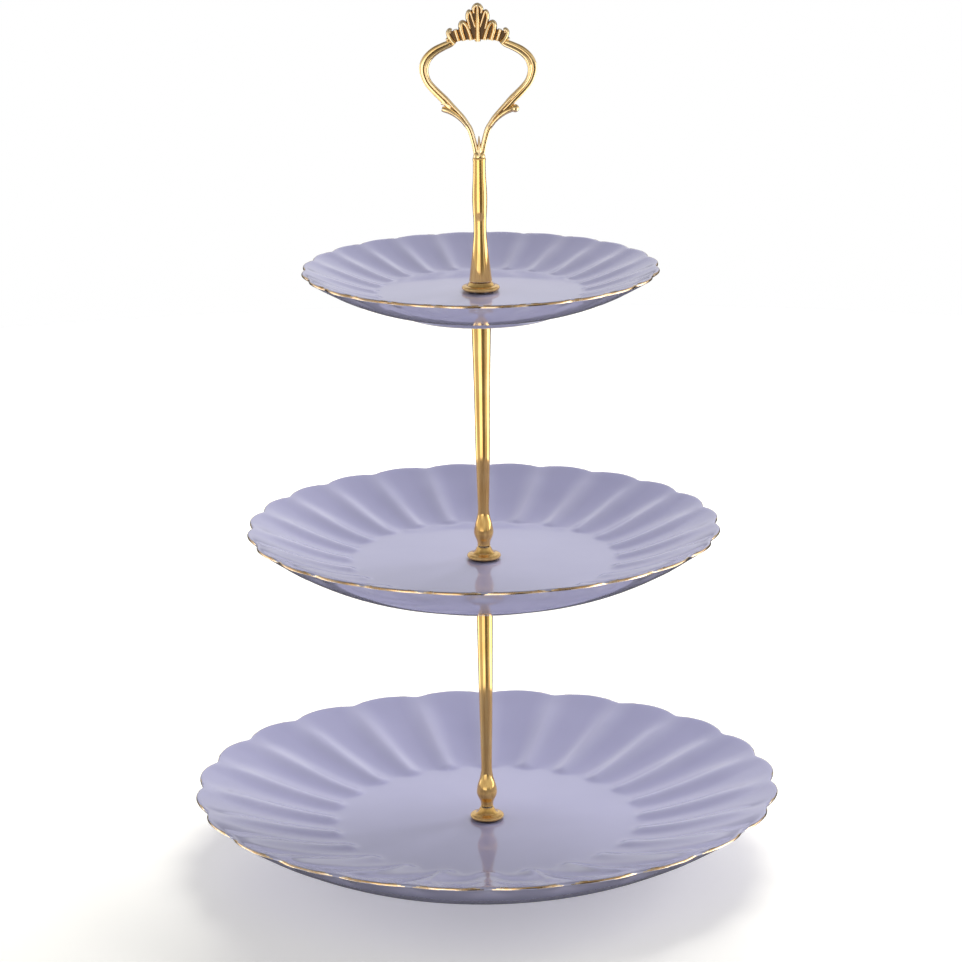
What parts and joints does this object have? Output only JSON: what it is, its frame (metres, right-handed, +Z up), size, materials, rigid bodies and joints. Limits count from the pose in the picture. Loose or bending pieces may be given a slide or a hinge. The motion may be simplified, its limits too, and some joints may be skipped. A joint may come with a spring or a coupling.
{
  "type": "tiered cake stand",
  "caption": "Scalloped ceramic plates of falling size, clamped one above another on a turned gold column that screws together and ends in a crowned loop handle.",
  "frame": {"origin": "centre of the bottom plate's foot ring, on the surface that the stand rests on", "axes": "+Z up along the column, X across the handle's loop, Y through the loop"},
  "size_m": [0.2534, 0.2534, 0.3731],
  "materials": {
    "lavender_glaze": "glossy lavender glaze with a gilded edge",
    "polished_gold": "polished gold plating",
    "bright_steel": "bright turned steel",
    "clear_pad": "clear soft plastic"
  },
  "bodies": {
    "base": {"bottom_plate": "lavender_glaze", "bottom_plate_lower_pad": "clear_pad", "bottom_plate_upper_pad": "clear_pad", "base_washer": "bright_steel", "base_screw": "bright_steel"},
    "lower_rod_foot": {"bottom_rosette": "polished_gold"},
    "lower_column": {"lower_rod": "polished_gold", "lower_rod_stud": "bright_steel", "middle_plate_lower_pad": "clear_pad"},
    "middle_tier": {"middle_plate": "lavender_glaze", "middle_plate_upper_pad": "clear_pad"},
    "upper_rod_foot": {"middle_rosette": "polished_gold"},
    "upper_column": {"upper_rod": "polished_gold", "upper_rod_stud": "bright_steel", "top_plate_lower_pad": "clear_pad"},
    "top_tier": {"top_plate": "lavender_glaze", "top_plate_upper_pad": "clear_pad"},
    "handle_foot": {"top_rosette": "polished_gold"},
    "handle": {"handle_stem": "polished_gold", "handle_loop": "polished_gold"}
  },
  "joints": [
    {"name": "lower_rod_unscrew", "type": "hinge", "parent": "base", "child": "lower_rod_foot", "pos_m": [0, 0, 0.0149], "axis": [0, 0, 1], "range_deg": [0, 3600]},
    {"name": "lower_rod_lift", "type": "slide", "parent": "lower_rod_foot", "child": "lower_column", "axis": [0, 0, 1], "range_m": [0, 0.007]},
    {"name": "middle_plate_turn", "type": "hinge", "parent": "lower_column", "child": "middle_tier", "pos_m": [0, 0, 0.1287], "axis": [0, 0, 1], "continuous": true},
    {"name": "upper_rod_unscrew", "type": "hinge", "parent": "lower_column", "child": "upper_rod_foot", "pos_m": [0, 0, 0.1336], "axis": [0, 0, 1], "range_deg": [0, 3600]},
    {"name": "upper_rod_lift", "type": "slide", "parent": "upper_rod_foot", "child": "upper_column", "axis": [0, 0, 1], "range_m": [0, 0.007]},
    {"name": "top_plate_turn", "type": "hinge", "parent": "upper_column", "child": "top_tier", "pos_m": [0, 0, 0.247], "axis": [0, 0, 1], "continuous": true},
    {"name": "handle_unscrew", "type": "hinge", "parent": "upper_column", "child": "handle_foot", "pos_m": [0, 0, 0.2516], "axis": [0, 0, 1], "range_deg": [0, 3600]},
    {"name": "handle_lift", "type": "slide", "parent": "handle_foot", "child": "handle", "axis": [0, 0, 1], "range_m": [0, 0.007]}
  ],
  "couplings": [
    {"joint": "lower_rod_unscrew", "follows": "lower_rod_lift", "rad_per_m": 8975},
    {"joint": "upper_rod_unscrew", "follows": "upper_rod_lift", "rad_per_m": 8975},
    {"joint": "handle_unscrew", "follows": "handle_lift", "rad_per_m": 8975}
  ]
}
